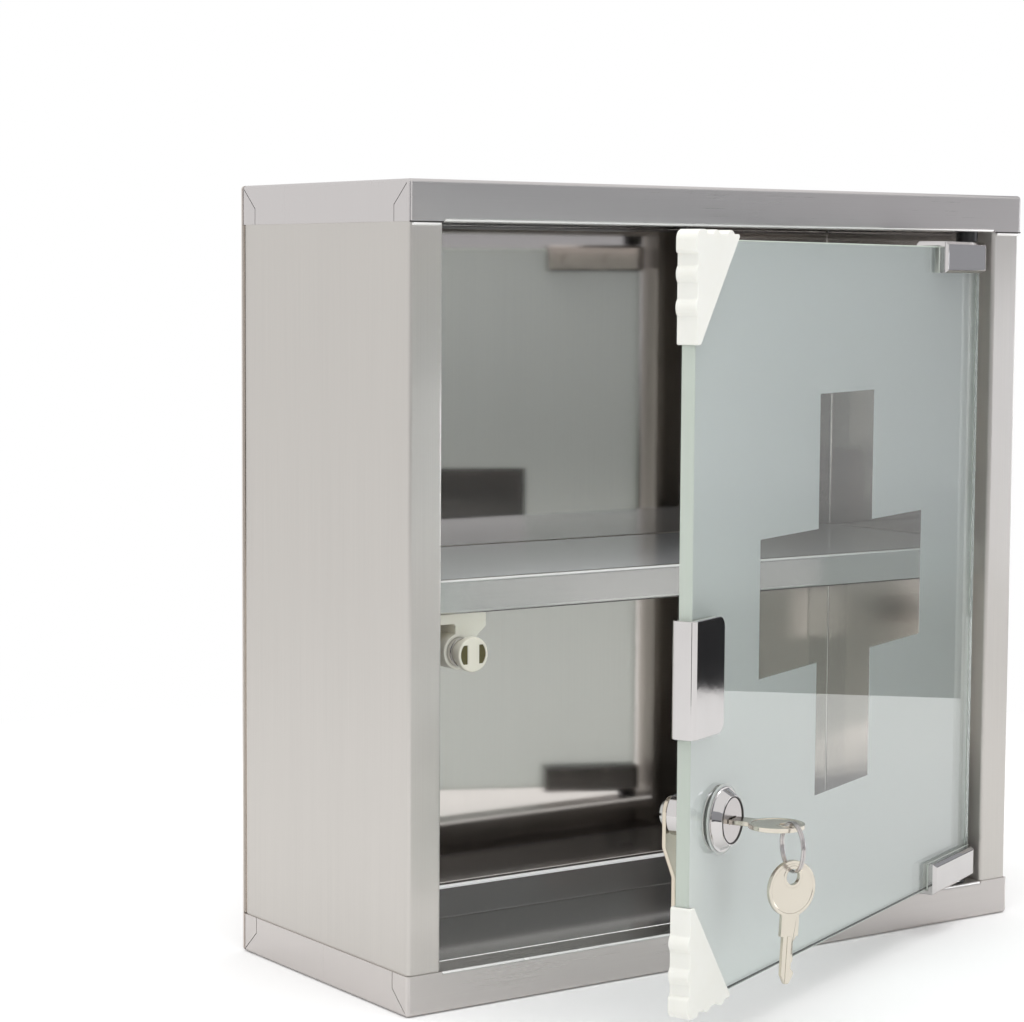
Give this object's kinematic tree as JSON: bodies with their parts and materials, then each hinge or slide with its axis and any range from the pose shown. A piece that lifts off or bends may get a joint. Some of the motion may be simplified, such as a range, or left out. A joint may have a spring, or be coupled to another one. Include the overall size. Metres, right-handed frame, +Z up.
{
  "type": "wall first aid cabinet",
  "caption": "Small stainless steel wall cabinet with a shelf, a frosted glass door with a clear cross, a push catch and a cam lock with keys.",
  "frame": {"origin": "middle of the case's underside: half way across, half way between the front rim and the wall face, on the bottom face", "axes": "+Z up, +Y towards the wall, +X to the right of someone facing the door; the door's hinge side is +X"},
  "size_m": [0.3, 0.2492, 0.3],
  "materials": {
    "case_steel": "brushed stainless steel, long satin grain",
    "back_steel": "bright cold-rolled stainless steel",
    "frosted_glass": "tempered glass, etched behind, clear cross",
    "chrome": "polished chrome plate",
    "black_nylon": "moulded nylon",
    "rubber": "matt",
    "white_plastic": "moulded, off-white",
    "soft_plastic": "soft moulded, white",
    "zinc_steel": "zinc plated",
    "brass": "bright",
    "nickel": "nickel plate, warm",
    "magnet": "ferrite, matt"
  },
  "bodies": {
    "cabinet": {"base": "case_steel", "cap": "case_steel", "left_side_panel": "case_steel", "right_side_panel": "case_steel", "back_panel": "back_steel", "shelf": "case_steel", "pivot_bush_bottom": "black_nylon", "pivot_bush_top": "black_nylon", "catch_bracket": "white_plastic", "bracket_screws": "brass", "catch_barrel": "zinc_steel", "catch_spring": "zinc_steel"},
    "door": {"door_glass": "frosted_glass", "handle_clip": "chrome", "handle_liner": "rubber", "lock_body": "chrome", "lock_gasket": "rubber", "lock_washer": "zinc_steel", "lock_nut": "zinc_steel", "hinge_clip_bottom": "chrome", "hinge_clip_top": "chrome", "clip_pads_bottom": "rubber", "clip_pads_top": "rubber", "clamp_plate_bottom": "zinc_steel", "clamp_plate_top": "zinc_steel", "clip_screws_bottom": "zinc_steel", "clip_screws_top": "zinc_steel", "pivot_pin_bottom": "zinc_steel", "pivot_pin_top": "zinc_steel", "corner_guard_bottom": "soft_plastic", "corner_guard_top": "soft_plastic"},
    "lock_core": {"lock_plug": "zinc_steel", "lock_wafers": "brass", "lock_cam": "zinc_steel", "cam_screw": "zinc_steel"},
    "lock_key": {"key": "nickel"},
    "split_ring": {"key_ring": "nickel"},
    "spare": {"key_spare": "nickel"},
    "plunger": {"catch_plunger": "white_plastic", "catch_magnet": "magnet", "catch_pole_plates": "zinc_steel"}
  },
  "joints": [
    {"name": "door_hinge", "type": "hinge", "parent": "cabinet", "child": "door", "pos_m": [0.1255, -0.0535, 0.15], "axis": [0, 0, 1], "range_deg": [-24.7, 70.3]},
    {"name": "lock_turn", "type": "hinge", "parent": "door", "child": "lock_core", "pos_m": [-0.08353, -0.15184, 0.0812], "axis": [-0.4179, 0.9085, 0], "range_deg": [0, 90]},
    {"name": "key_slide", "type": "slide", "parent": "lock_core", "child": "lock_key", "axis": [0.4179, -0.9085, 0], "range_m": [0, 0.02]},
    {"name": "ring_swing", "type": "hinge", "parent": "lock_key", "child": "split_ring", "pos_m": [-0.07225, -0.17637, 0.0812], "axis": [0.2588, 0.9659, 0], "range_deg": [-24, 24]},
    {"name": "spare_swing", "type": "hinge", "parent": "split_ring", "child": "spare", "pos_m": [-0.07339, -0.18062, 0.06677], "axis": [0.2588, 0.9659, 0], "range_deg": [-35, 35]},
    {"name": "catch_push", "type": "slide", "parent": "cabinet", "child": "plunger", "axis": [0, 1, 0], "range_m": [0, 0.004], "stiffness_N_per_m": 250, "springref_m": -0.006, "deforming": ["catch_spring"]}
  ]
}
